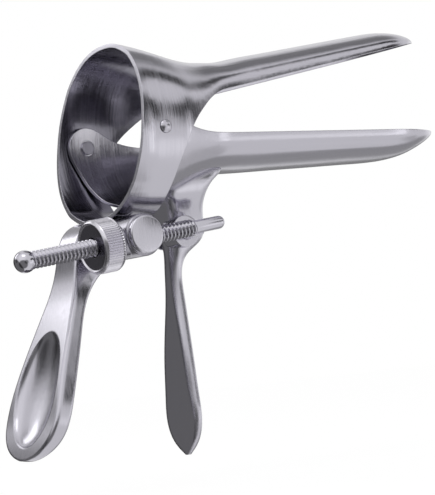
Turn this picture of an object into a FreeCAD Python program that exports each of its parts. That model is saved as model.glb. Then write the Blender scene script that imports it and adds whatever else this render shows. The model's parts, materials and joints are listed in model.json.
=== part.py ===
import FreeCAD, Part
import math
import os

from FreeCAD import Placement, Rotation, Vector

# Duck-bill speculum of stainless steel with a side screw.
# +X runs forward along the lower blade's edges, +Y to the left and +Z up.
# The origin is the middle of the hinge axis, and the blades stand as far open as in ordinary use.

doc = FreeCAD.newDocument("duck_bill_speculum")
sheet = doc.addObject("Spreadsheet::Sheet", "sizes")

sizes = {
    # Pressed sheet
    "sheet_wall": 1.2,
    "oval_power": 2.2,
    # Lower blade: from the hinge axis to the tip
    "lower_reach": 113.8,
    "root_reach": 30.0,
    "blade_half_width": 16.0,
    "tip_half_width": 14.8,
    "tip_length": 24.0,
    "lower_edge_drop": 1.2,
    "lower_root_depth": 10.2,
    "lower_front_depth": 8.2,
    # Open cup and hinge ears at the rear of the lower blade
    "ear_gap": 0.35,
    "ear_radius": 6.0,
    "cup_depth": 21.4,
    "cup_back": 4.5,
    # Upper blade and its collar ring
    "upper_reach": 109.8,
    "upper_slope": 11.0,
    "upper_root_height": 12.1,
    "upper_root_depth": 9.3,
    "upper_front_depth": 6.9,
    "ring_half_width": 22.55,
    "ring_lift": 1.4,
    "ring_top": 27.3,
    "ring_bottom": 24.8,
    "rim_flare": 2.3,
    "rim_setback": 8.1,
    "rim_lean": 9.3,
    "band_front": 10.3,
    "band_foot": 1.9,
    # Hinge rivets
    "rivet_bore": 1.35,
    "rivet_fit": 0.05,
    "rivet_head": 1.9,
    "rivet_dome": 0.8,
    "rivet_foot": 2.0,
    "seat_margin": 0.4,
    "seat_depth": 0.35,
    # Front handle, brazed under the lower blade
    "handle_foot": 92.4,
    "handle_leaf_width": 8.0,
    "handle_neck_width": 2.8,
    # Rear lever, brazed under the collar
    "lever_foot": 88.8,
    "lever_width": 14.1,
    "lever_corner": 1.1,
    "scoop_half_width": 10.6,
    "scoop_depth": 3.6,
    "scoop_lean": 20.5,
    "scoop_up": 19.0,
    "scoop_down": 14.5,
    # Screw line: swivel on the rear lever, stud on the front handle
    "screw_side": 13.5,
    "swivel_back": 8.0,
    "swivel_drop": 29.6,
    "stud_front": 13.6,
    "stud_drop": 28.4,
    "stud_lift": 0.63,
    "swivel_lift": 0.79,
    "thread_radius": 2.5,
    "shank_radius": 1.9,
    "rod_back": 57.95,
    "rod_front": 9.2,
    "thread_end": 2.2,
    "ball_radius": 3.1,
    "ball_play": 0.03,
    # Swivel
    "block_radius": 6.0,
    "block_arm": 7.75,
    "block_near": 5.2,
    "block_far": 4.2,
    "rod_play": 0.35,
    "cap_radius": 5.4,
    "cap_height": 1.6,
    "journal_radius": 2.2,
    "journal_fit": 0.05,
    "washer_radius": 4.2,
    "washer_wall": 0.8,
    "bearing_radius": 6.0,
    "bearing_start": 3.0,
    "lever_half": 5.5,
    "peened_end": 0.7,
    # Stud and its boss
    "boss_radius": 4.6,
    "boss_face": 7.4,
    "stud_radius": 2.3,
    "neck_half": 4.6,
    # Knurled nut
    "nut_radius": 7.65,
    "nut_width": 7.0,
    "nut_dish": 1.6,
    "nut_lip": 1.2,
    "nut_gap": 0.1,
}
for row, (name, value) in enumerate(sizes.items(), start=1):
    sheet.set("A%d" % row, name)
    sheet.set("B%d" % row, str(value))
    sheet.setAlias("B%d" % row, name)
doc.recompute()


def size(name):
    return float(sheet.get(name))


# The ears lie inside the ring with a running gap.
earHalfSpan = size("ring_half_width") - size("sheet_wall") - size("ear_gap")


def blend(value, start, end):
    """0 before start, 1 after end, and a smooth rise between them."""
    share = min(max((value - start) / (end - start), 0.0), 1.0)
    return share * share * (3.0 - 2.0 * share)


def mix(first, second, share):
    return first + (second - first) * share


def ovalWire(x, halfWidth, middle, top, bottom):
    """A closed oval across the blade, in four quarters, with its own rise and drop."""
    power = 2.0 / size("oval_power")
    steps = 6

    def place(turn):
        across = math.copysign(abs(math.cos(turn)) ** power, math.cos(turn))
        upward = math.copysign(abs(math.sin(turn)) ** power, math.sin(turn))
        reach = top - middle if upward > 0 else middle - bottom
        return Vector(x, halfWidth * across, middle + reach * upward)

    def heading(turn):
        return (place(turn + 0.001) - place(turn - 0.001)).normalize()

    edges = []
    for quarter in range(4):
        start = math.pi / 2.0 * (quarter + 0.5)
        end = start + math.pi / 2.0
        points = [place(mix(start, end, step / steps)) for step in range(steps + 1)]
        curve = Part.BSplineCurve()
        curve.interpolate(Points=points, InitialTangent=heading(start), FinalTangent=heading(end))
        edges.append(curve.toShape())
    return Part.Wire(edges)


def feature(name, shape):
    made = doc.addObject("Part::Feature", name)
    made.Shape = shape
    return made


def lowerSection(x, wall):
    """Half width, widest height, crown and bottom of the lower valve at x, less the wall."""
    reach = size("lower_reach") - wall
    tipStart = reach - size("tip_length")
    edge = -size("lower_edge_drop")
    along = min(max((x - size("root_reach")) / (tipStart - size("root_reach")), 0.0), 1.0)
    bladeWidth = mix(size("blade_half_width"), size("tip_half_width"), along)
    bladeDepth = mix(size("lower_root_depth"), size("lower_front_depth"), along)
    width = mix(earHalfSpan, bladeWidth, blend(x, 0.0, size("root_reach")))
    depth = mix(size("cup_depth"), bladeDepth, blend(x, -8.0, size("root_reach") + 2.0))
    tip = min(max((x - tipStart) / size("tip_length"), 0.0), 1.0)
    width = (width - wall) * math.sqrt(1.0 - tip * tip)
    depth = (depth - wall) * (1.0 - tip * tip) ** 0.9
    rearward = blend(x, 0.0, size("root_reach"))
    middle = mix(size("ring_lift"), edge, rearward)
    rise = mix(size("cup_depth") + 2.0, depth, rearward)
    return width, middle, middle + rise, edge - depth


def upperSection(x, wall):
    """Half width, widest height, crown and bottom of the upper valve at x, less the wall."""
    reach = size("upper_reach") - wall
    tipStart = reach - size("tip_length")
    root = size("root_reach")
    slope = math.tan(math.radians(size("upper_slope")))
    edge = size("upper_root_height") + (x - root) * slope
    along = min(max((x - root) / (tipStart - root), 0.0), 1.0)
    bladeWidth = mix(size("blade_half_width"), size("tip_half_width"), along)
    bladeDepth = mix(size("upper_root_depth"), size("upper_front_depth"), along)
    width = mix(size("ring_half_width"), bladeWidth, blend(x, 5.0, root + 1.0))
    width += size("rim_flare") * (max(-x - 2.5, 0.0) / 9.5) ** 1.4
    tip = min(max((x - tipStart) / size("tip_length"), 0.0), 1.0)
    width = (width - wall) * math.sqrt(1.0 - tip * tip)
    bladeDepth = (bladeDepth - wall) * (1.0 - tip * tip) ** 0.8
    middle = mix(size("ring_lift"), edge, blend(x, 9.0, root))
    bladeCrown = edge + bladeDepth
    rootCrown = size("upper_root_height") + size("upper_root_depth") - wall
    crown = mix(size("ring_top") - wall, max(bladeCrown, rootCrown), blend(x, -8.0, root - 6.0))
    if x > root:
        crown = bladeCrown
    bottom = mix(wall - size("ring_bottom"), edge - bladeDepth, blend(x, 10.0, tipStart))
    return width, middle, crown, bottom


def evenly(first, last, count):
    return [mix(first, last, step / (count - 1)) for step in range(count)]


def tipStations(reach, wall):
    end = reach - wall
    start = end - size("tip_length")
    return [start + size("tip_length") * share for share in (0.0, 0.3, 0.55, 0.75, 0.88, 0.97)]


def lowerBlank(name, wall):
    """The full tube from which the lower valve is trimmed."""
    back = -size("ear_radius") - 3.0 - wall
    stations = [back, -4.0] + evenly(0.0, size("root_reach"), 8)
    stations += evenly(size("root_reach") + 9.0, size("lower_reach") - size("tip_length") - 9.0, 5)
    wires = []
    for x in stations + tipStations(size("lower_reach"), wall):
        width, middle, crown, bottom = lowerSection(x, wall)
        wires.append(ovalWire(x, width, middle, crown, bottom))
    return feature(name, Part.makeLoft(wires, True, False))


def upperBlank(name, wall):
    """The full tube from which the upper valve and its ring are trimmed."""
    stations = [-15.0 - wall, -12.0, -8.0, -4.0] + evenly(0.0, size("root_reach"), 8)
    stations += evenly(size("root_reach") + 9.0, size("upper_reach") - size("tip_length") - 9.0, 5)
    wires = []
    for x in stations + tipStations(size("upper_reach"), wall):
        width, middle, crown, bottom = upperSection(x, wall)
        wires.append(ovalWire(x, width, middle, crown, bottom))
    return feature(name, Part.makeLoft(wires, True, False))


def outlineSolid(name, corners, curve):
    """A slab across the whole width, from straight corners closed by a smooth curve."""
    lines = Part.makePolygon([Vector(x, 0.0, z) for x, z in corners])
    spline = Part.BSplineCurve()
    spline.interpolate([Vector(x, 0.0, z) for x, z in [corners[-1]] + curve + [corners[0]]])
    face = Part.Face(Part.Wire(lines.Edges + [spline.toShape()]))
    face.translate(Vector(0.0, -40.0, 0.0))
    return feature(name, face.extrude(Vector(0.0, 80.0, 0.0)))


def upperOutline():
    """Side view of the upper valve: leaning rim, blade edge and the curved front of the band."""
    lean = math.tan(math.radians(size("rim_lean")))
    slope = math.tan(math.radians(size("upper_slope")))
    low = -size("ring_bottom") - 2.0
    high = size("ring_top") + 12.0
    end = size("upper_reach") + 4.0
    root = size("root_reach")
    edgeAt = size("upper_root_height") - 3.0 * slope
    corners = [
        (size("band_foot") + 0.3, low),
        (-size("rim_setback") + low * lean, low),
        (-size("rim_setback") + high * lean, high),
        (end, high),
        (end, size("upper_root_height") + (end - root) * slope),
        (root - 3.0, edgeAt),
    ]
    front = size("band_front")
    foot = size("band_foot")
    curve = [
        (mix(front, root - 3.0, 0.64), mix(0.6, edgeAt, 0.81)),
        (mix(front, root - 3.0, 0.31), mix(0.6, edgeAt, 0.46)),
        (front, 0.6),
        (mix(foot, front, 0.56), -6.0),
        (mix(foot, front, 0.22), -13.6),
        (mix(foot, front, 0.05), 3.0 - size("ring_bottom")),
    ]
    return outlineSolid("upper_outline", corners, curve)


def lowerOutline():
    """Side view of the lower valve: blade edge, round ear on the hinge and the cup's rear edge."""
    edge = -size("lower_edge_drop")
    low = edge - size("cup_depth") - 3.0
    end = size("lower_reach") + 4.0
    back = size("cup_back")
    ear = size("ear_radius")
    corners = [(back + 1.2, low), (end, low), (end, edge), (24.0, edge)]
    curve = [(18.0, edge + 0.3), (13.0, edge + 1.2), (8.0, edge + 3.2)]
    for degrees in (66.0, 98.0, 130.0, 162.0):
        turn = math.radians(degrees)
        curve.append((ear * math.cos(turn), ear * math.sin(turn)))
    curve += [(-ear + 0.1, -1.8), (-ear + 1.7, -6.5), (-ear + 3.7, -12.6), (-ear + 6.0, -17.4)]
    curve += [(back - 1.4, edge - size("cup_depth") + 2.2)]
    return outlineSolid("lower_outline", corners, curve)


def joined(kind, name, first, second):
    made = doc.addObject("Part::" + kind, name)
    made.Base = first
    made.Tool = second
    return made


def common(name, first, second):
    made = doc.addObject("Part::MultiCommon", name)
    made.Shapes = [first, second]
    return made


def fused(name, pieces):
    made = doc.addObject("Part::MultiFuse", name)
    made.Shapes = pieces
    return made


def cylinder(name, radius, height, base, axis):
    """A cylinder whose radius and height are formulas on the sheet."""
    made = doc.addObject("Part::Cylinder", name)
    made.setExpression("Radius", radius)
    made.setExpression("Height", height)
    made.Placement = Placement(base, Rotation(Vector(0, 0, 1), axis))
    return made


def sphere(name, radius, base):
    """A ball whose poles lie on the rod, so that no seam crosses a hole along it."""
    made = doc.addObject("Part::Sphere", name)
    made.setExpression("Radius", radius)
    made.Placement = Placement(base, Rotation(Vector(0, 0, 1), rodAhead))
    return made


upperOuter = upperBlank("upper_outer", 0.0)
upperInner = upperBlank("upper_inner", size("sheet_wall"))
lowerOuter = lowerBlank("lower_outer", 0.0)
lowerInner = lowerBlank("lower_inner", size("sheet_wall"))
upperFull = common("upper_full", upperOuter, upperOutline())
lowerFull = common("lower_full", lowerOuter, lowerOutline())
upperShell = joined("Cut", "upper_shell", upperFull, upperInner)
lowerShell = joined("Cut", "lower_shell", lowerFull, lowerInner)

# Screw line: the rod runs a little below the swivel's axis and a little above the stud's.
left = Vector(0, 1, 0)
right = Vector(0, -1, 0)
swivelAxis = Vector(-size("swivel_back"), 0.0, -size("swivel_drop"))
studAxis = Vector(size("stud_front"), 0.0, -size("stud_drop"))
span = studAxis - swivelAxis
rodAngle = math.atan2(span.z, span.x) + math.asin((size("stud_lift") + size("swivel_lift")) / span.Length)
rodAhead = Vector(math.cos(rodAngle), 0.0, math.sin(rodAngle))
rodUp = Vector(-math.sin(rodAngle), 0.0, math.cos(rodAngle))
sideways = right * size("screw_side")
swivelPoint = swivelAxis + sideways - rodUp * size("swivel_lift")
rodPoint = studAxis + sideways + rodUp * size("stud_lift")


def at(point, side):
    return Vector(point.x, side, point.z)


# Hinge holes and the round seats inside the ears
earInside = earHalfSpan - size("sheet_wall")
seatSide = earInside + size("seat_depth") - 0.3
hingeBore = cylinder("hinge_bore", "sizes.rivet_bore + sizes.rivet_fit", "80", Vector(0, -40, 0), left)
earBore = cylinder("ear_bore", "sizes.rivet_bore", "80", Vector(0, -40, 0), left)
seatRadius = "sizes.rivet_foot + sizes.seat_margin"
earSeats = cylinder("ear_seats", seatRadius, "%.3f" % (2.0 * seatSide), Vector(0, -seatSide, 0), left)
upperBored = joined("Cut", "upper_blade", upperShell, hingeBore)
lowerSeated = joined("Cut", "lower_seated", lowerShell, earSeats)
lowerBored = joined("Cut", "lower_blade", lowerSeated, earBore)


def rivet(name, outward):
    """A rivet on the hinge axis: domed head outside the band, flat foot inside the ear."""
    headSide = size("ring_half_width") + 0.12
    foot = cylinder(name + "_foot", "sizes.rivet_foot", "0.6", outward * (seatSide - 0.6), outward)
    shank = cylinder(name + "_shank", "sizes.rivet_bore", "%.3f" % (headSide - seatSide + 0.2),
                     outward * (seatSide - 0.1), outward)
    dome = doc.addObject("Part::Sphere", name + "_dome")
    rise = size("rivet_dome")
    ballRadius = (size("rivet_head") ** 2 + rise ** 2) / (2.0 * rise)
    dome.setExpression("Radius", "(sizes.rivet_head ^ 2 + sizes.rivet_dome ^ 2) / (2 * sizes.rivet_dome)")
    dome.Placement = Placement(outward * (headSide + rise - ballRadius), Rotation())
    cap = cylinder(name + "_cap", "sizes.rivet_head + 1", "5", outward * headSide, outward)
    head = common(name + "_head", dome, cap)
    return fused(name, [foot, shank, head])


hingeRivetLeft = rivet("hinge_rivet_left", left)
hingeRivetRight = rivet("hinge_rivet_right", right)


def barWire(rear, front, halfWidth, corner):
    """A rounded rectangle across a forged bar, between two points of its side view."""
    first = Vector(rear[0], 0.0, rear[1])
    last = Vector(front[0], 0.0, front[1])
    along = last - first
    depth = along.Length
    along.normalize()
    corner = min(corner, 0.42 * depth, 0.42 * 2.0 * halfWidth)
    middle = (first + last) * 0.5
    reach = depth / 2.0

    def place(u, v):
        return middle + along * u + left * v

    edges = []
    corners = [(reach, halfWidth), (-reach, halfWidth), (-reach, -halfWidth), (reach, -halfWidth)]
    bend = corner * (1.0 - math.sqrt(0.5))
    for number, (u, v) in enumerate(corners):
        nextU, nextV = corners[(number + 1) % 4]
        signU = math.copysign(1.0, u)
        signV = math.copysign(1.0, v)
        onU = (u - signU * corner, v)
        onV = (u, v - signV * corner)
        mid = (u - signU * bend, v - signV * bend)
        enter, leave = (onV, onU) if number % 2 == 0 else (onU, onV)
        edges.append(Part.Arc(place(*enter), place(*mid), place(*leave)).toShape())
        nextSignU = math.copysign(1.0, nextU)
        nextSignV = math.copysign(1.0, nextV)
        if number % 2 == 0:
            nextEnter = (nextU - nextSignU * corner, nextV)
        else:
            nextEnter = (nextU, nextV - nextSignV * corner)
        edges.append(Part.makeLine(place(*leave), place(*nextEnter)))
    return Part.Wire(edges)


def forged(name, stations, corner):
    """A forged bar lofted through rounded rectangles: rear point, front point and half width."""
    wires = [barWire(rear, front, halfWidth, corner) for rear, front, halfWidth in stations]
    return feature(name, Part.makeLoft(wires, True, False))


# Rear lever: head under the collar, bend, neck and broad thumb rest
leverFoot = size("lever_foot")
leverWide = size("lever_width")
leverBar = forged("lever_bar", [
    ((-2.0, -23.0), (-2.0, -34.4), 5.2),
    ((-7.5, -23.0), (-7.2, -35.6), 5.5),
    ((-13.2, -23.6), (-11.6, -37.2), 5.5),
    ((-18.6, -25.2), (-14.6, -38.8), 5.4),
    ((-22.1, -29.8), (-16.9, -41.0), 5.4),
    ((-23.7, -36.4), (-19.0, -43.4), 5.9),
    ((-25.7, -43.4), (-21.5, -46.6), 7.2),
    ((-28.7, -50.5), (-24.4, -52.0), 9.0),
    ((-32.1, -58.2), (-27.2, -59.2), 10.8),
    ((-35.8, -67.2), (-30.7, -68.2), 12.8),
    ((-38.8, -76.0), (-34.0, -76.9), leverWide),
    ((-40.8, -81.6), (-36.2, -82.5), leverWide - 1.1),
    ((-42.2, -85.4), (-38.2, -86.2), leverWide - 4.4),
    ((-42.9, -87.4), (-39.6, -88.1), leverWide - 8.4),
    ((-43.2, -88.3), (-40.6, -leverFoot), leverWide - 11.9),
], size("lever_corner"))


def scoop(name, centre, lean, up, down, halfWidth, depth):
    """An egg-shaped hollow: two half ellipsoids that share their widest section."""
    halves = []
    for half, reach, lowest, highest in (("up", up, "0", "90"), ("down", down, "-90", "0")):
        made = doc.addObject("Part::Ellipsoid", name + "_" + half)
        made.setExpression("Radius1", reach)
        made.setExpression("Radius2", depth)
        made.setExpression("Radius3", halfWidth)
        made.setExpression("Angle1", lowest)
        made.setExpression("Angle2", highest)
        made.Placement = Placement(centre, Rotation(Vector(0, 1, 0), lean))
        halves.append(made)
    return fused(name, halves)


thumbScoop = scoop("thumb_scoop", Vector(-37.2, 0.0, -71.2), size("scoop_lean"), "sizes.scoop_up",
                   "sizes.scoop_down", "sizes.scoop_half_width", "sizes.scoop_depth")
leverScooped = joined("Cut", "lever_scooped", leverBar, thumbScoop)
leverBearing = cylinder("lever_bearing", "sizes.bearing_radius",
                        "sizes.screw_side - sizes.block_far - 0.3 - sizes.bearing_start",
                        at(swivelAxis, -size("bearing_start")), right)
leverWhole = fused("lever_whole", [leverScooped, leverBearing])
leverSeated = joined("Cut", "lever_seated", leverWhole, upperFull)
journalBore = cylinder("journal_bore", "sizes.journal_radius + sizes.journal_fit", "40",
                       at(swivelAxis, 20.0), right)
rearLever = joined("Cut", "rear_lever", leverSeated, journalBore)

# Front handle: saddle under the cup, neck and leaf-shaped grip
leaf = size("handle_leaf_width")
neck = size("handle_neck_width")
handleBar = forged("handle_bar", [
    ((6.0, -10.2), (28.6, -10.2), 9.2),
    ((6.6, -14.0), (25.6, -13.4), 9.2),
    ((8.0, -18.0), (22.6, -17.2), 8.6),
    ((9.8, -22.0), (22.2, -21.6), 6.6),
    ((10.9, -26.0), (23.0, -26.0), 5.0),
    ((10.8, -29.8), (22.2, -30.4), 4.4),
    ((11.0, -33.6), (17.4, -34.4), 3.5),
    ((10.8, -38.0), (14.9, -38.4), neck),
    ((10.5, -46.0), (14.3, -46.0), neck + 0.4),
    ((10.1, -56.0), (13.8, -56.0), 4.8),
    ((9.8, -66.0), (13.3, -66.0), 6.3),
    ((9.8, -75.0), (13.0, -75.0), leaf - 0.7),
    ((10.0, -82.5), (12.7, -82.5), leaf - 0.2),
    ((10.2, -87.6), (12.6, -87.6), leaf - 2.0),
    ((10.5, -90.6), (12.4, -90.6), leaf - 4.8),
    ((10.8, -size("handle_foot")), (12.2, -size("handle_foot")), leaf - 7.2),
], 3.0)
handleSeated = joined("Cut", "handle_seated", handleBar, lowerFull)
neckFlat = cylinder("neck_flat", "sizes.washer_radius + 0.3", "20", at(studAxis, size("neck_half")), left)
handleFlat = joined("Cut", "handle_flat", handleSeated, neckFlat)
studBore = cylinder("stud_bore", "sizes.stud_radius + sizes.journal_fit", "40", at(studAxis, 20.0), right)
frontHandle = joined("Cut", "front_handle", handleFlat, studBore)

# Boss, stud and its washer
bossDisc = cylinder("boss_disc", "sizes.boss_radius", "sizes.boss_face - 1", at(studAxis, -1.0), right)
bossSeated = joined("Cut", "boss_seated", bossDisc, handleSeated)
screwBoss = joined("Cut", "screw_boss", bossSeated, studBore)
studEnd = size("neck_half") + size("washer_wall") + size("peened_end")
studBar = cylinder("stud_bar", "sizes.stud_radius",
                   "sizes.screw_side + sizes.neck_half + sizes.washer_wall + sizes.peened_end",
                   at(studAxis, studEnd), right)
washerBase = at(studAxis, size("neck_half") + 0.05)
studDisc = cylinder("stud_disc", "sizes.washer_radius", "sizes.washer_wall - 0.05", washerBase, left)
studHole = cylinder("stud_hole", "sizes.stud_radius", "5", washerBase + right, left)
studWasher = joined("Cut", "stud_washer", studDisc, studHole)

# Rod with its thread as a plain cylinder, and the ball on its rear end
ballPoint = rodPoint - rodAhead * size("rod_back")
threadBar = cylinder("thread_bar", "sizes.thread_radius", "sizes.rod_back - sizes.thread_end", ballPoint, rodAhead)
shankBar = cylinder("shank_bar", "sizes.shank_radius", "sizes.rod_front + sizes.thread_end - sizes.shank_radius",
                    rodPoint - rodAhead * size("thread_end"), rodAhead)
shankEnd = sphere("shank_end", "sizes.shank_radius",
                  rodPoint + rodAhead * (size("rod_front") - size("shank_radius")))
rod = fused("adjusting_screw", [threadBar, shankBar, shankEnd])
ball = sphere("ball", "sizes.ball_radius", ballPoint)
ballHole = cylinder("ball_hole", "sizes.thread_radius + sizes.ball_play", "20",
                    ballPoint - rodAhead * size("ball_play"), rodAhead)
ballStop = joined("Cut", "ball_stop", ball, ballHole)
pivotStud = joined("Cut", "pivot_stud", studBar, rod)

# Swivel block: round front, arm to the nut, bore for the rod and a journal through the lever
blockNear = size("screw_side") + size("block_near")
blockFar = size("screw_side") - size("block_far")
blockRound = cylinder("block_round", "sizes.block_radius", "sizes.block_near + sizes.block_far",
                      at(swivelAxis, -blockNear), left)
blockArm = doc.addObject("Part::Box", "block_arm_box")
blockArm.setExpression("Length", "sizes.block_arm")
blockArm.setExpression("Width", "sizes.block_near + sizes.block_far")
blockArm.setExpression("Height", "2 * sizes.block_radius")
armCorner = swivelAxis - rodAhead * size("block_arm") - rodUp * size("block_radius")
blockArm.Placement = Placement(at(armCorner, -blockNear), Rotation(Vector(0, -1, 0), math.degrees(rodAngle)))
washerSeat = size("lever_half") + 0.05
journalBar = cylinder("journal_bar", "sizes.journal_radius",
                      "%.3f" % (blockFar + washerSeat + size("washer_wall") + size("peened_end")),
                      at(swivelAxis, -blockFar), left)
blockWhole = fused("block_whole", [blockRound, blockArm, journalBar])
blockBore = cylinder("block_bore", "sizes.thread_radius + sizes.rod_play", "60",
                     swivelPoint - rodAhead * 30.0, rodAhead)
swivelBlock = joined("Cut", "swivel_block", blockWhole, blockBore)
swivelCap = cylinder("swivel_cap", "sizes.cap_radius", "sizes.cap_height", at(swivelAxis, -blockNear), right)
washerStart = at(swivelAxis, washerSeat)
swivelDisc = cylinder("swivel_disc", "sizes.washer_radius", "sizes.washer_wall", washerStart, left)
swivelHole = cylinder("swivel_hole", "sizes.journal_radius", "5", washerStart + right, left)
swivelWasher = joined("Cut", "swivel_washer", swivelDisc, swivelHole)

# Knurled nut behind the block
nutStart = swivelPoint - rodAhead * (size("block_arm") + size("nut_gap"))
nutBar = cylinder("nut_bar", "sizes.nut_radius", "sizes.nut_width", nutStart, rodAhead * -1.0)
nutBore = cylinder("nut_bore", "sizes.thread_radius + sizes.rod_play", "20", nutStart + rodAhead, rodAhead * -1.0)
nutDish = cylinder("nut_dish_cut", "sizes.nut_radius - sizes.nut_lip", "sizes.nut_dish",
                   nutStart - rodAhead * (size("nut_width") - size("nut_dish")), rodAhead * -1.0)
nutRing = joined("Cut", "nut_ring", nutBar, nutBore)
knurledNut = joined("Cut", "knurled_nut", nutRing, nutDish)

pieces = {
    "lower_blade": lowerBored,
    "front_handle": frontHandle,
    "screw_boss": screwBoss,
    "hinge_rivet_left": hingeRivetLeft,
    "hinge_rivet_right": hingeRivetRight,
    "upper_blade": upperBored,
    "rear_lever": rearLever,
    "swivel_block": swivelBlock,
    "swivel_cap": swivelCap,
    "swivel_washer": swivelWasher,
    "pivot_stud": pivotStud,
    "stud_washer": studWasher,
    "adjusting_screw": rod,
    "ball_stop": ballStop,
    "knurled_nut": knurledNut,
}
for label, piece in pieces.items():
    piece.Label = label
doc.recompute()
for made in doc.Objects:
    if "Invalid" in made.State or "Error" in made.State:
        raise RuntimeError("%s could not be built" % made.Name)
os.makedirs("parts", exist_ok=True)
for label, piece in pieces.items():
    if piece.Shape.isNull() or not piece.Shape.isValid():
        raise RuntimeError("%s has no valid shape" % label)
    piece.Shape.exportStep("parts/%s.step" % label)
    print("%s: %d solid, %.0f mm3" % (label, len(piece.Shape.Solids), piece.Shape.Volume))
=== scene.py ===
import json
import math

import bpy
from mathutils import Matrix, Vector


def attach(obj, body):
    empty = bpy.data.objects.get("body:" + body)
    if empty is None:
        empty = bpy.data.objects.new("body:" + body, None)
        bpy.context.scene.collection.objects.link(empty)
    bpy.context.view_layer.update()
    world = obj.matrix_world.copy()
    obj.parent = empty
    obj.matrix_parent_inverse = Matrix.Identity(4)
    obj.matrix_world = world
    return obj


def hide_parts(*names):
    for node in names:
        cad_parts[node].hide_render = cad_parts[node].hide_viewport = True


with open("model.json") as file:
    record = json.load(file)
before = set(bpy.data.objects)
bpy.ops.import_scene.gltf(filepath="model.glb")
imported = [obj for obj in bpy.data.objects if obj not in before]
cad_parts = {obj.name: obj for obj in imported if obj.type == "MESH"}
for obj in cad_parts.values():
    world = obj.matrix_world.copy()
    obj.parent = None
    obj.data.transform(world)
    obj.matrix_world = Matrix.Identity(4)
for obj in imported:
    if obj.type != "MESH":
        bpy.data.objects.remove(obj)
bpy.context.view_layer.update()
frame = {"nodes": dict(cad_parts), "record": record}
print("frame loaded: %d nodes" % len(frame["nodes"]))

mm = 0.001    # the tables are in mm, the frame and Blender in metres
white = (1.0, 1.0, 1.0, 1.0)


# sRGB hex to the linear colour that a shader takes
def linear(hexColour):
    shares = [int(hexColour[i:i + 2], 16) / 255.0 for i in (1, 3, 5)]
    return tuple(share / 12.92 if share <= 0.04045 else ((share + 0.055) / 1.055) ** 2.4
                 for share in shares) + (1.0,)


# One node with its settings; an input is a value or another node's socket
def addNode(tree, kind, inputs=None, **settings):
    node = tree.nodes.new(kind)
    for name, value in settings.items():
        setattr(node, name, value)
    for key, value in (inputs or {}).items():
        if isinstance(value, bpy.types.NodeSocket):
            tree.links.new(value, node.inputs[key])
        else:
            node.inputs[key].default_value = value
    return node


# A value brought from one range to another and held at its ends
def mapRange(tree, value, fromRange, toRange=(0.0, 1.0), **settings):
    return addNode(tree, "ShaderNodeMapRange", {
        "Value": value, "From Min": fromRange[0], "From Max": fromRange[1],
        "To Min": toRange[0], "To Max": toRange[1]}, **settings).outputs[0]


def product(tree, first, second):
    return addNode(tree, "ShaderNodeMath", {0: first, 1: second}, operation="MULTIPLY").outputs[0]


def dotProduct(tree, first, second):
    return addNode(tree, "ShaderNodeVectorMath", {0: first, 1: second},
                   operation="DOT_PRODUCT").outputs["Value"]


def newMaterial(name):
    material = bpy.data.materials.new(name)
    material.use_nodes = True
    tree = material.node_tree
    tree.nodes.clear()
    return material, tree, addNode(tree, "ShaderNodeOutputMaterial")


# Grinding lines: noise that changes within the given lengths in mm along X, Y and Z
def grainLines(tree, place, lengths):
    mapped = addNode(tree, "ShaderNodeMapping", {
        "Vector": place, "Scale": [1.0 / (length * mm) for length in lengths]})
    return addNode(tree, "ShaderNodeTexNoise", {
        "Vector": mapped.outputs[0], "Scale": 1.0, "Detail": 2.0}).outputs[0]


# Roughness that follows the grain; nearly all of the noise lies between 0.3 and 0.7
def grainRoughness(tree, grain, roughness):
    return mapRange(tree, grain, (0.3, 0.7), roughness)


# The steel itself: edges rounded in the shading by the finish's edge radius, then the grain's bump
def steelShader(tree, output, v, colour, roughness, grain, strength):
    rounded = addNode(tree, "ShaderNodeBevel", {"Radius": v["edge"] * mm}, samples=6)
    bump = addNode(tree, "ShaderNodeBump", {
        "Height": grain, "Strength": strength, "Distance": v["grainDepth"] * mm,
        "Normal": rounded.outputs[0]})
    shader = addNode(tree, "ShaderNodeBsdfPrincipled", {
        "Base Color": colour, "Metallic": 1.0, "Roughness": roughness, "Normal": bump.outputs[0]})
    tree.links.new(shader.outputs[0], output.inputs["Surface"])


# Stainless steel 1.4021, pressed from sheet. The blades are polished along their length, with
# soft bands. The collar keeps the satin of an abrasive belt: fine upright lines, which blur what
# it reflects. Faces on the satin part that look in towards the collar's middle line take an inside
# colour in place of the steel's own: painted shade where it is darker, painted highlight where it
# is lighter.
# satinEnd is where the satin fades along X, ringHeight the height of the collar's middle line,
# innerFacing how far a face looks towards that line, from inner to outer.
sheetSteel = {"colour": "#c6c4cd", "edge": 0.25, "grainDepth": 0.1,
              "satinRoughness": (0.15, 0.24), "satinGrain": (0.45, 40.0, 40.0), "satinBump": 0.22,
              "polishRoughness": (0.13, 0.23), "polishGrain": (60.0, 0.9, 0.9), "polishBump": 0.05,
              "satinEnd": (8.0, 26.0), "ringHeight": 1.4, "innerFacing": (-0.5, -0.2)}


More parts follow.
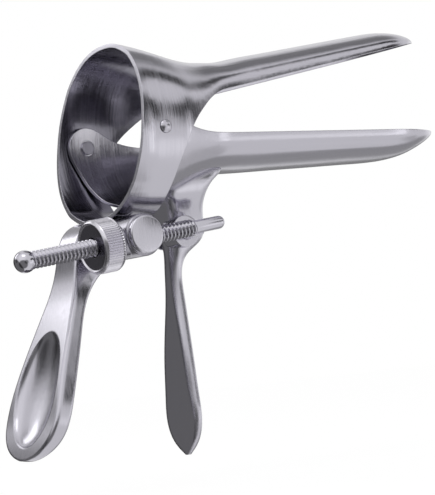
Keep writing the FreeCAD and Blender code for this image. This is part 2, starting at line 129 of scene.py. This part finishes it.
def sheetMaterial(name, paintedInsideColour, v):
    material, tree, output = newMaterial(name)
    place = addNode(tree, "ShaderNodeTexCoord").outputs["Object"]
    facing = addNode(tree, "ShaderNodeTexCoord").outputs["Normal"]
    along = addNode(tree, "ShaderNodeSeparateXYZ", {0: place}).outputs["X"]
    polished = mapRange(tree, along, [x * mm for x in v["satinEnd"]])

    # from the collar's middle line to the point, straight across the collar
    outward = addNode(tree, "ShaderNodeVectorMath", {
        0: place, 1: (0.0, 0.0, -v["ringHeight"] * mm)}, operation="ADD").outputs[0]
    outward = addNode(tree, "ShaderNodeVectorMath", {
        0: outward, 1: (0.0, 1.0, 1.0)}, operation="MULTIPLY").outputs[0]
    outward = addNode(tree, "ShaderNodeVectorMath", {0: outward}, operation="NORMALIZE").outputs[0]
    # mask of faces that look in towards the collar's middle line; on the satin part they take the
    # inside colour, painted shade on the collar and rivets, painted highlight on the lower blade
    inside = mapRange(tree, dotProduct(tree, outward, facing), v["innerFacing"], (1.0, 0.0))
    satin = addNode(tree, "ShaderNodeMath", {0: 1.0, 1: polished}, operation="SUBTRACT").outputs[0]
    colour = addNode(tree, "ShaderNodeMix", {
        0: product(tree, satin, inside), 6: linear(v["colour"]), 7: linear(paintedInsideColour)},
        data_type="RGBA").outputs[2]

    belt = grainLines(tree, place, v["satinGrain"])
    sweep = grainLines(tree, place, v["polishGrain"])
    grain = addNode(tree, "ShaderNodeMix", {0: polished, 2: belt, 3: sweep}).outputs[0]
    roughness = addNode(tree, "ShaderNodeMix", {
        0: polished, 2: grainRoughness(tree, belt, v["satinRoughness"]),
        3: grainRoughness(tree, sweep, v["polishRoughness"])}).outputs[0]
    strength = mapRange(tree, polished, (0.0, 1.0), (v["satinBump"], v["polishBump"]))
    steelShader(tree, output, v, colour, roughness, grain, strength)
    return material


# Forged 1.4021, ground and then polished up and down the handles: nearly a mirror, with faint
# upright lines and edges worn bright by handling
forgedSteel = {"colour": "#c5c3cc", "roughness": (0.11, 0.2), "grain": (0.7, 0.7, 40.0),
               "bump": 0.06, "grainDepth": 0.1, "edge": 0.5}

# Stainless bar, turned on a lathe and buffed: small bright parts with a faint satin on flat faces
turnedSteel = {"colour": "#cac8d1", "roughness": (0.16, 0.28), "grain": (0.35, 0.35, 12.0),
               "bump": 0.08, "grainDepth": 0.05, "edge": 0.2}


# The last argument is a direction: faces that look that way are painted darker in the finish's
# shade colour, a painted shade; its facing range says how squarely a face looks that way, from
# unshaded to shaded
def solidMaterial(name, v, paintedShadeSide=None):
    material, tree, output = newMaterial(name)
    colour = linear(v["colour"])
    if paintedShadeSide is not None:
        facing = addNode(tree, "ShaderNodeTexCoord").outputs["Normal"]
        # faces looking along the given direction, painted darker: painted shade
        paintedShadeMask = mapRange(tree, dotProduct(tree, facing, paintedShadeSide), v["paintedShadeFacing"])
        colour = addNode(tree, "ShaderNodeMix", {
            0: paintedShadeMask, 6: colour, 7: linear(v["paintedShadeColour"])}, data_type="RGBA").outputs[2]
    place = addNode(tree, "ShaderNodeTexCoord").outputs["Object"]
    grain = grainLines(tree, place, v["grain"])
    roughness = grainRoughness(tree, grain, v["roughness"])
    steelShader(tree, output, v, colour, roughness, grain, v["bump"])
    return material


def dress(piece, material):
    piece.data.materials.clear()
    piece.data.materials.append(material)


finishes = {
    # the collar's inner side is painted darker here: painted shade
    "pressed_steel": sheetMaterial("pressedStainlessCollarPaintedShade", "#8b8993", sheetSteel),
    "forged_steel": solidMaterial("forgedStainless", forgedSteel),
    "turned_steel": solidMaterial("turnedStainless", turnedSteel),
    "screw_steel": solidMaterial("brightScrewSteel", dict(turnedSteel, roughness=(0.12, 0.2)))}
finishes["nut_steel"] = finishes["screw_steel"]    # the nut's own piece has a finish of its own

# Nodes that differ from their slot's finish: the grips' edges are worn rounder by the buffing
# wheel and the thumb lever is softer, the ball is a mirror, the peened rivets' inner faces carry a
# darker painted shade and the lower blade's inner side a lighter painted highlight
# the rivets' faces that look in towards the collar are painted darker: painted shade
rivetSteel = sheetMaterial("peenedRivetPaintedShade", "#8f8d97", sheetSteel)
ownFinishes = {
    # the lower blade's inner side is painted lighter here: painted highlight
    "lower_blade": sheetMaterial("pressedStainlessBladePaintedLight", "#d2d0d8", sheetSteel),
    "front_handle": solidMaterial("buffedHandleSteel", dict(forgedSteel, edge=1.6)),
    "rear_lever": solidMaterial(
        "buffedLeverSteel", dict(forgedSteel, roughness=(0.14, 0.22), edge=0.8)),
    "ball_stop": solidMaterial("mirrorBallSteel", dict(turnedSteel, roughness=(0.05, 0.1))),
    "hinge_rivet_left": rivetSteel,
    "hinge_rivet_right": rivetSteel}
slotOf = {part["node"]: part["material_slot"] for part in frame["record"]["subparts"]}
for name, node in frame["nodes"].items():
    dress(node, ownFinishes.get(name, finishes[slotOf[name]]))
print("finishes on the frame's pieces")

point = 0.001    # radius in mm of a ring that closes a turned shape at its axis
weld = 0.002     # distance in mm within which a turned shape's points are merged


# A turned shape: one circle, extruded from ring to ring along Z; each ring is (height, radius)
def turnedShape(name, rings, sides):
    bpy.ops.object.select_all(action="DESELECT")
    lastHeight, lastRadius = rings[0]
    bpy.ops.mesh.primitive_circle_add(
        vertices=sides, radius=lastRadius * mm, location=(0, 0, lastHeight * mm))
    piece = bpy.context.object
    piece.name = name
    bpy.ops.object.transform_apply(location=True, rotation=True, scale=True)
    bpy.ops.object.mode_set(mode="EDIT")
    bpy.ops.mesh.select_all(action="SELECT")
    for height, radius in rings[1:]:
        bpy.ops.mesh.extrude_region_move(
            TRANSFORM_OT_translate={"value": (0, 0, (height - lastHeight) * mm)})
        share = radius / lastRadius
        bpy.ops.transform.resize(value=(share, share, 1.0), center_override=(0, 0, height * mm))
        lastHeight, lastRadius = height, radius
    bpy.ops.mesh.select_all(action="SELECT")
    bpy.ops.mesh.remove_doubles(threshold=weld * mm)
    bpy.ops.mesh.normals_make_consistent(inside=False)
    bpy.ops.object.mode_set(mode="OBJECT")
    return piece


# The rings of a rounded edge: an arc of radius bend that comes up to the height
def roundedEdge(height, radius, bend, angles=range(0, 91, 15)):
    rings = []
    for degrees in angles:
        turn = math.radians(degrees)
        rings.append((height - bend + bend * math.sin(turn), radius - bend + bend * math.cos(turn)))
    return rings


# Joins the pieces into the first one
def joinPieces(pieces):
    bpy.ops.object.select_all(action="DESELECT")
    for piece in pieces:
        piece.select_set(True)
    bpy.context.view_layer.objects.active = pieces[0]
    bpy.ops.object.join()


# Turns a piece from its own Z axis to a direction, moves it to a point and puts both in its mesh
def setInPlace(piece, place, direction):
    bpy.ops.object.select_all(action="DESELECT")
    piece.select_set(True)
    bpy.context.view_layer.objects.active = piece
    piece.rotation_euler = direction.to_track_quat("Z", "Y").to_euler()
    piece.location = place * mm
    bpy.ops.object.transform_apply(location=True, rotation=True, scale=True)
    bpy.ops.object.shade_smooth_by_angle(angle=math.radians(30.0))


# The screw's line, as in the part's source: the rod passes above the swivel's and the stud's axes
# by the two lifts; the points are (x, z), and side is their y
screwLine = {"side": -13.5, "swivel": (-8.0, -29.6), "stud": (13.6, -28.4),
             "swivelLift": 0.79, "studLift": 0.63}


# The rod's points at the swivel and at the stud, and its direction
def screwPoints(v):
    swivel = Vector((v["swivel"][0], v["side"], v["swivel"][1]))
    stud = Vector((v["stud"][0], v["side"], v["stud"][1]))
    span = stud - swivel
    angle = math.atan2(span.z, span.x)
    angle += math.asin((v["swivelLift"] + v["studLift"]) / span.length)
    ahead = Vector((math.cos(angle), 0.0, math.sin(angle)))
    upward = Vector((-math.sin(angle), 0.0, math.cos(angle)))
    return swivel - upward * v["swivelLift"], stud + upward * v["studLift"], ahead


swivelPoint, rodPoint, rodAhead = screwPoints(screwLine)

# Rod: V thread from the ball to the stud, then a plain shank with a round end. back and front are
# measured from the stud. fade is the number of turns in which the thread sinks to runOut above
# its root; the core inside it ends coreEnd behind the stud, and the shank starts at shankStart.
rodSizes = {"back": 57.95, "front": 9.2, "threadStart": 0.75, "turns": 44, "pitch": 1.25,
            "outer": 2.5, "depth": 0.62, "crest": 0.16, "fade": 1.6, "runOut": 0.02,
            "coreStart": 0.1, "coreGap": 0.15, "coreEnd": 3.6, "shankStart": 3.1, "shank": 1.9,
            "helixWeld": 0.005, "weld": 0.004, "steps": 36}


# The thread's outline is one tooth's three edges, swept by a screw modifier, with both ends closed
def screwThread(v, root):
    flank = (1.0 - v["crest"]) * v["pitch"] / 2.0
    bpy.ops.object.select_all(action="DESELECT")
    bpy.ops.mesh.primitive_plane_add(size=v["pitch"] * mm)
    thread = bpy.context.object
    thread.name = "threadedRod"
    bpy.ops.object.mode_set(mode="EDIT")
    bpy.ops.mesh.select_all(action="SELECT")
    bpy.ops.mesh.merge(type="CENTER")
    bpy.ops.transform.translate(value=(root * mm, 0, v["threadStart"] * mm))
    tooth = ((v["depth"], flank), (0.0, v["crest"] * v["pitch"]), (-v["depth"], flank))
    for outward, upward in tooth:
        bpy.ops.mesh.extrude_vertices_move(
            TRANSFORM_OT_translate={"value": (outward * mm, 0, upward * mm)})
    bpy.ops.object.mode_set(mode="OBJECT")
    helix = thread.modifiers.new("helix", "SCREW")
    helix.axis = "Z"
    helix.angle = 2.0 * math.pi
    helix.screw_offset = v["pitch"] * mm
    helix.iterations = v["turns"]
    helix.steps = helix.render_steps = v["steps"]
    helix.use_merge_vertices = True
    helix.merge_threshold = v["helixWeld"] * mm
    bpy.ops.object.modifier_apply(modifier=helix.name)
    top = max(vertex.co.z for vertex in thread.data.vertices)
    for vertex in thread.data.vertices:    # the last turns run out into the shank
        radius = math.hypot(vertex.co.x, vertex.co.y)
        share = min((top - vertex.co.z) / (v["fade"] * v["pitch"] * mm), 1.0)
        wanted = min(radius, (root + v["runOut"] + (v["outer"] - root) * share) * mm)
        vertex.co.x *= wanted / radius
        vertex.co.y *= wanted / radius
    bpy.ops.object.mode_set(mode="EDIT")
    bpy.ops.mesh.select_all(action="SELECT")
    bpy.ops.mesh.remove_doubles(threshold=v["weld"] * mm)
    bpy.ops.mesh.select_mode(type="EDGE")
    for atTop in (False, True):    # each open end is closed by itself
        bpy.ops.mesh.select_all(action="DESELECT")
        bpy.ops.mesh.select_non_manifold(
            extend=False, use_wire=False, use_boundary=True,
            use_multi_face=False, use_non_contiguous=False, use_verts=False)
        bpy.ops.object.mode_set(mode="OBJECT")
        for edge in thread.data.edges:
            isTop = thread.data.vertices[edge.vertices[0]].co.z > top / 2.0
            edge.select = edge.select and isTop == atTop
        bpy.ops.object.mode_set(mode="EDIT")
        bpy.ops.mesh.fill()
    bpy.ops.mesh.select_all(action="SELECT")
    bpy.ops.mesh.normals_make_consistent(inside=False)
    bpy.ops.mesh.select_mode(type="VERT")
    bpy.ops.object.mode_set(mode="OBJECT")
    return thread


def threadedRod(v):
    root = v["outer"] - v["depth"]
    thread = screwThread(v, root)
    length = v["back"] + v["front"]
    rings = [(v["coreStart"], point), (v["coreStart"], root - v["coreGap"]),
             (v["back"] - v["coreEnd"], root - v["coreGap"]),
             (v["back"] - v["shankStart"], v["shank"])]
    rings += roundedEdge(length, v["shank"], v["shank"], range(0, 90, 12))
    rings.append((length, point))
    core = turnedShape("rodCore", rings, v["steps"])
    joinPieces((thread, core))
    setInPlace(thread, rodPoint - rodAhead * v["back"], rodAhead)
    dress(thread, finishes["screw_steel"])
    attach(thread, "screw")
    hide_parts("adjusting_screw")


threadedRod(rodSizes)
print("threaded rod")

# Nut: straight knurl of 64 teeth, deep enough that the lines read at the photo's distance, a
# smooth bright bevel at each end and a shallow recess in the rear face, whose rear faces are
# painted darker as painted shade. Its outline goes from the front face to the recess; each ring
# there is (height, how far inside the radius).
nutSizes = {"arm": 7.75, "gap": 0.1, "radius": 7.65, "bore": 2.85, "teeth": 64, "tooth": 0.45,
            "front": ((0.0, 0.6), (0.25, 0.25), (0.7, 0.0)),
            "knurl": ((1.0, 0.001), (5.9, 0.001)),
            "rear": ((6.1, 0.0), (6.65, 0.3), (6.9, 0.6), (7.0, 0.85), (6.88, 0.95)),
            "recess": ((6.7, 1.05), (6.55, 1.25), (6.5, 1.55))}
# the dark second colour is painted shade on the nut's rear faces and recess
nutSteel = dict(turnedSteel, colour="#d4d2da", edge=0.1, paintedShadeColour="#77757e",
                paintedShadeFacing=(0.9, 0.97))


def knurledNut(v):
    outline = v["front"] + v["knurl"] + v["rear"] + v["recess"]
    face, floor = outline[0][0], outline[-1][0]
    rings = [(face, v["bore"])]
    rings += [(height, v["radius"] - inset) for height, inset in outline]
    rings += [(floor, v["bore"]), (face, v["bore"])]
    nut = turnedShape("knurledNut", rings, 2 * v["teeth"])
    bpy.ops.object.mode_set(mode="EDIT")
    bpy.ops.mesh.select_all(action="DESELECT")
    bpy.ops.object.mode_set(mode="OBJECT")
    for vertex in nut.data.vertices:    # every second upright edge of the knurl is a valley
        turn = math.degrees(math.atan2(vertex.co.y, vertex.co.x)) * v["teeth"] / 180.0
        onKnurl = any(abs(vertex.co.z - height * mm) < 0.01 * mm for height, _ in v["knurl"])
        vertex.select = onKnurl and round(turn) % 2 == 0
    bpy.ops.object.mode_set(mode="EDIT")
    share = (v["radius"] - v["tooth"]) / v["radius"]
    bpy.ops.transform.resize(value=(share, share, 1.0), center_override=(0, 0, 0))
    bpy.ops.object.mode_set(mode="OBJECT")
    setInPlace(nut, swivelPoint - rodAhead * (v["arm"] + v["gap"]), -rodAhead)
    dress(nut, solidMaterial("knurledNutPaintedShade", nutSteel, -rodAhead))
    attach(nut, "nut")
    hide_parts("knurled_nut")


knurledNut(nutSizes)
print("knurled nut")

# Swivel's block: a round boss across the rod, with a slimmer barrel along the rod, whose foot
# bears on the nut, and the journal that turns in the lever and is riveted behind it. Each ring of
# the foot is (height, how far outside the barrel), of the rivet (below its end, inside its radius).
blockSizes = {"radius": 6.0, "near": 5.2, "far": 4.2, "chamfer": 0.2, "shoulder": 0.9,
              "arm": 7.75, "barrel": 4.4,
              "foot": ((0.0, 0.6), (0.2, 0.8), (0.8, 0.8), (1.1, 0.3), (1.6, 0.0)),
              "journal": 2.2, "rivetEnd": 7.05, "rivet": ((0.3, 0.0), (0.1, 0.25), (0.0, 0.8)),
              "sides": 72, "journalSides": 48}


def swivelBlock(v):
    rings = [(0.0, point)]
    rings += [(height, v["barrel"] + out) for height, out in v["foot"]]
    rings += [(v["arm"], v["barrel"]), (v["arm"], point)]
    barrel = turnedShape("swivelBlock", rings, v["sides"])
    setInPlace(barrel, swivelPoint - rodAhead * v["arm"], rodAhead)

    farFace = Vector((
        screwLine["swivel"][0], screwLine["side"] + v["far"], screwLine["swivel"][1]))
    deep = v["near"] + v["far"]
    rings = [(0.0, point), (0.0, v["radius"] - v["chamfer"]), (v["chamfer"], v["radius"])]
    rings += roundedEdge(deep, v["radius"], v["shoulder"])
    rings.append((deep, point))
    boss = turnedShape("swivelBoss", rings, v["sides"])
    setInPlace(boss, farFace, Vector((0, -1, 0)))

    length = v["rivetEnd"] - screwLine["side"] - v["far"]
    rings = [(0.0, point), (0.0, v["journal"])]
    rings += [(length - below, v["journal"] - inset) for below, inset in v["rivet"]]
    rings.append((length, point))
    journal = turnedShape("swivelJournal", rings, v["journalSides"])
    setInPlace(journal, farFace, Vector((0, 1, 0)))

    joinPieces((barrel, boss, journal))
    dress(barrel, solidMaterial("dullBlockSteel", dict(turnedSteel, colour="#a5a3ac")))
    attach(barrel, "swivel")
    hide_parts("swivel_block")


swivelBlock(blockSizes)
print("swivel block")

# Swivel's cap: a satin face, slightly domed, with a bright rounded rim. Its chamfer is (height,
# depth), and domeRings are shares of the face's radius.
capSizes = {"near": 5.2, "radius": 5.4, "height": 1.6, "chamfer": (0.12, 0.15), "round": 0.6,
            "dome": 0.22, "domeRings": (0.86, 0.7, 0.5, 0.3, 0.15), "sides": 72}


def swivelCap(v):
    edgeHeight = v["height"] - v["dome"]
    face = v["radius"] - v["round"]
    rings = [(0.0, point), (0.0, v["radius"] - v["chamfer"][1]), (v["chamfer"][0], v["radius"])]
    rings += roundedEdge(edgeHeight, v["radius"], v["round"])
    rings += [(edgeHeight + v["dome"] * (1.0 - share * share), face * share)
              for share in v["domeRings"]]
    rings.append((v["height"], point))
    cap = turnedShape("swivelCap", rings, v["sides"])
    side = screwLine["side"] - v["near"]
    setInPlace(cap, Vector((screwLine["swivel"][0], side, screwLine["swivel"][1])),
               Vector((0, -1, 0)))
    dress(cap, finishes["turned_steel"])
    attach(cap, "swivel")
    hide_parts("swivel_cap")


swivelCap(capSizes)
print("swivel cap")

# Camera at the photograph's viewing angle, found from the hinge, the tips and the rod
cameraView = {"azimuth": -35.19, "elevation": -3.41, "roll": -5.92, "distance": 600.0,
              "aside": -27.24, "above": 31.45, "focalPixels": 2084.3, "framePixels": 495.0,
              "sensor": 36.0, "clip": (0.01, 50.0)}


# The direction of an azimuth from the front (-Y) towards +X and an elevation, in degrees
def directionOf(azimuth, elevation):
    turn, lift = math.radians(azimuth), math.radians(elevation)
    return Vector((math.sin(turn) * math.cos(lift), -math.cos(turn) * math.cos(lift),
                   math.sin(lift)))


def addCamera(v):
    back = directionOf(v["azimuth"], v["elevation"])
    turn, roll = math.radians(v["azimuth"]), math.radians(v["roll"])
    level = Vector((math.cos(turn), math.sin(turn), 0.0))
    upright = back.cross(level)
    right = level * math.cos(roll) + upright * math.sin(roll)
    up = upright * math.cos(roll) - level * math.sin(roll)
    lens = bpy.data.cameras.new("photoCamera")
    lens.sensor_width = v["sensor"]
    lens.lens = v["focalPixels"] * v["sensor"] / v["framePixels"]
    lens.clip_start, lens.clip_end = v["clip"]
    camera = bpy.data.objects.new("photoCamera", lens)
    bpy.context.scene.collection.objects.link(camera)
    camera.matrix_world = Matrix((right, up, back)).transposed().to_4x4()
    camera.location = (back * v["distance"] - right * v["aside"] - up * v["above"]) * mm
    bpy.context.scene.camera = camera


addCamera(cameraView)

# Studio: a white floor and surround. Steel shows what stands round it, so grey and black flags
# stand where the photographed steel is dark, and lighter panels where it is bright. Each one:
# azimuth from the front (-Y) towards +X, elevation, inner and outer half angle in degrees, share
# of the light left. soft is the surround's light on matt surfaces, surround its level in mirrors.
studio = {"floorHeight": -101.0, "floorSize": 6000.0, "floorColour": "#f2f2f2",
          "floorGlow": 1.1, "glowShare": 0.85, "soft": 0.45, "surround": 0.85, "flags": (
              # grey, wide and low, at the left and in front
              (-132.0, -30.0, 47.0, 55.0, 0.21),
              (-122.0, 10.0, 8.0, 18.0, 0.45),
              (-50.0, -30.0, 38.0, 50.0, 0.25),
              (-12.0, -6.0, 12.0, 26.0, 0.35),
              # two rows of black ones at the right: the dark lines round the collar
              (60.0, 15.0, 7.0, 12.5, 0.05),
              (47.0, 15.0, 5.0, 9.5, 0.05),
              (38.0, 14.5, 3.5, 8.0, 0.05),
              (61.0, 49.0, 4.0, 9.0, 0.08),
              (70.0, 44.0, 4.0, 9.0, 0.08),
              (77.0, 37.0, 4.0, 9.0, 0.12),
              # grey round those rows
              (70.0, 12.0, 4.0, 10.0, 0.35),
              (88.0, 47.0, 8.0, 20.0, 0.85),
              (75.0, -28.0, 5.0, 12.0, 0.7),
              # grey behind the object
              (-157.0, 11.0, 3.0, 8.5, 0.3),
              (120.0, 56.0, 9.0, 24.0, 0.3),
              (112.0, -34.0, 14.0, 27.0, 0.45),
              (143.0, -4.0, 8.0, 20.0, 0.28),
              (176.0, -2.0, 20.0, 32.0, 0.2),
              (172.0, 20.0, 10.0, 22.0, 0.5),
              (-155.0, 48.0, 8.0, 20.0, 0.7),
              # lighter panels
              (-148.0, 27.0, 6.0, 14.0, 1.25),
              (-60.0, 48.0, 18.0, 45.0, 1.25),
              (36.0, -13.0, 4.0, 12.0, 1.35),
              (110.0, 2.0, 9.0, 20.0, 1.25))}


# The camera sees the floor glow nearly white, with the object's shadow; mirrors don't see it
def addFloor(v):
    bpy.ops.object.select_all(action="DESELECT")
    bpy.ops.mesh.primitive_plane_add(
        size=v["floorSize"] * mm, location=(0, 0, v["floorHeight"] * mm))
    floor = bpy.context.object
    floor.name = "studioFloor"
    material, tree, output = newMaterial("paleFloor")
    rays = addNode(tree, "ShaderNodeLightPath").outputs
    hidden = addNode(tree, "ShaderNodeBsdfTransparent")
    paint = addNode(tree, "ShaderNodeBsdfDiffuse", {"Color": linear(v["floorColour"])})
    glow = addNode(tree, "ShaderNodeEmission", {"Color": white, "Strength": v["floorGlow"]})
    seen = addNode(tree, "ShaderNodeMixShader", {
        0: product(tree, rays["Is Camera Ray"], v["glowShare"]),
        1: paint.outputs[0], 2: glow.outputs[0]})
    mix = addNode(tree, "ShaderNodeMixShader", {
        0: rays["Is Glossy Ray"], 1: seen.outputs[0], 2: hidden.outputs[0]})
    tree.links.new(mix.outputs[0], output.inputs["Surface"])
    floor.data.materials.append(material)


# The world is white for the camera, even and soft for matt surfaces, and has its flags in mirrors
def addSurround(v):
    world = bpy.data.worlds.new("studio")
    bpy.context.scene.world = world
    world.use_nodes = True
    tree = world.node_tree
    tree.nodes.clear()
    rays = addNode(tree, "ShaderNodeLightPath").outputs
    direction = addNode(tree, "ShaderNodeTexCoord").outputs["Generated"]
    level = v["surround"]
    for azimuth, elevation, inner, outer, brightness in v["flags"]:
        towards = dotProduct(tree, direction, directionOf(azimuth, elevation))
        limits = [math.cos(math.radians(angle)) for angle in (outer, inner)]
        flag = mapRange(tree, towards, limits, (1.0, brightness), interpolation_type="SMOOTHSTEP")
        level = product(tree, level, flag)
    mirrored, matt, backdrop = [
        addNode(tree, "ShaderNodeBackground", {"Color": white, "Strength": strength}).outputs[0]
        for strength in (level, v["soft"], 1.0)]
    lit = addNode(tree, "ShaderNodeMixShader", {0: rays["Is Glossy Ray"], 1: matt, 2: mirrored})
    mix = addNode(tree, "ShaderNodeMixShader", {
        0: rays["Is Camera Ray"], 1: lit.outputs[0], 2: backdrop})
    addNode(tree, "ShaderNodeOutputWorld", {"Surface": mix.outputs[0]})


# Area lamps, all aimed at one point: name, place and size in mm, power in watts
lampTarget = Vector((20, 0, 0))
lamps = (("keyLamp", (-300, -300, 700), (400, 300), 0.45),
         ("fillLamp", (650, -500, -20), (120, 420), 0.1),
         ("backLamp", (-250, 600, 420), (200, 350), 0.3))


def addLamp(name, place, size, power):
    lamp = bpy.data.lights.new(name, "AREA")
    lamp.shape = "RECTANGLE"
    lamp.size, lamp.size_y = size[0] * mm, size[1] * mm
    lamp.energy = power
    holder = bpy.data.objects.new(name, lamp)
    bpy.context.scene.collection.objects.link(holder)
    holder.location = Vector(place) * mm
    holder.rotation_euler = (Vector(place) - lampTarget).to_track_quat("Z", "Y").to_euler()


bpy.context.scene.view_settings.view_transform = "Standard"
addFloor(studio)
addSurround(studio)
for row in lamps:
    addLamp(*row)
print("camera and studio")
